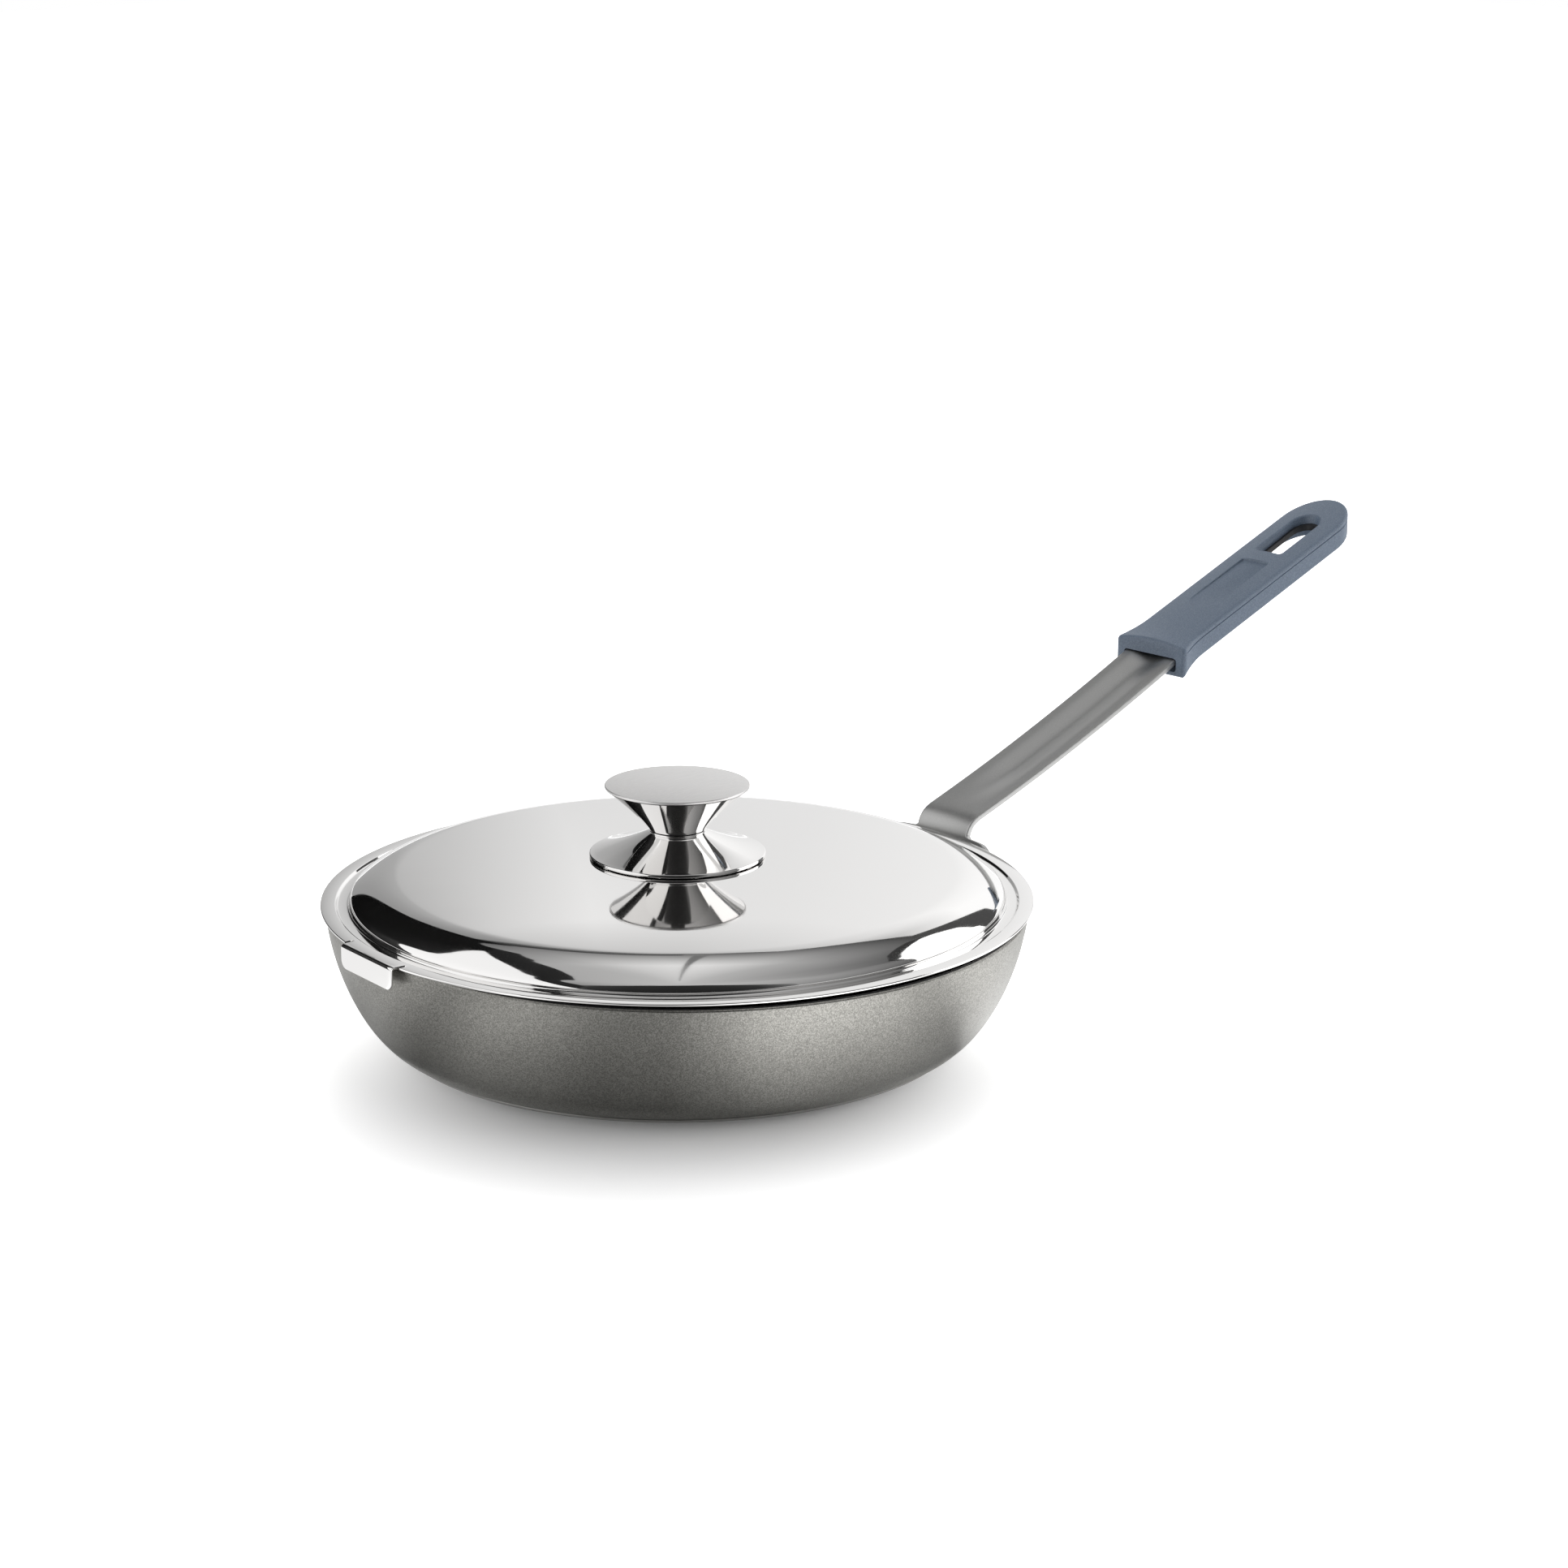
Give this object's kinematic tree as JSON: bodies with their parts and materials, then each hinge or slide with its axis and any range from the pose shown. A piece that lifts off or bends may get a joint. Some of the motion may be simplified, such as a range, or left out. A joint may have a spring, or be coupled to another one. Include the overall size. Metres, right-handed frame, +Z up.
{
  "type": "frying pan with lid",
  "caption": "Round frying pan with curved walls, long riveted steel handle with a slotted grip, and a polished domed lid with a waisted knob and a bent tab.",
  "frame": {"origin": "centre of the base plate's underside, where the pan stands", "axes": "+X from the pan's centre along the handle, +Z up along the pan's own axis, +Y to the left of the handle seen from above"},
  "size_m": [0.4709, 0.244, 0.1402],
  "materials": {
    "base_steel": "turned stainless steel disc, satin",
    "coated_aluminium": "matte grey-brown metallic coating",
    "fixing_steel": "plain bright steel",
    "brushed_steel": "brushed along its length",
    "grip_plastic": "soft-touch matte slate blue with a fine fleck",
    "mirror_steel": "mirror-polished stainless steel",
    "satin_steel": "satin stainless steel"
  },
  "bodies": {
    "pan": {"base_plate": "base_steel", "pan_body": "coated_aluminium", "rivet_right": "fixing_steel", "rivet_middle": "fixing_steel", "rivet_left": "fixing_steel", "handle_strap": "brushed_steel", "grip_sleeve": "grip_plastic"},
    "lid": {"lid_shell": "mirror_steel", "knob_skirt": "mirror_steel", "knob_cone": "mirror_steel", "knob_cap": "satin_steel", "knob_bush": "fixing_steel", "flat_washer": "fixing_steel", "lock_washer": "fixing_steel", "knob_screw": "fixing_steel"}
  },
  "joints": [
    {"name": "lid_lift", "type": "slide", "parent": "pan", "child": "lid", "axis": [0, 0, 1], "range_m": [0, 0.15]}
  ]
}
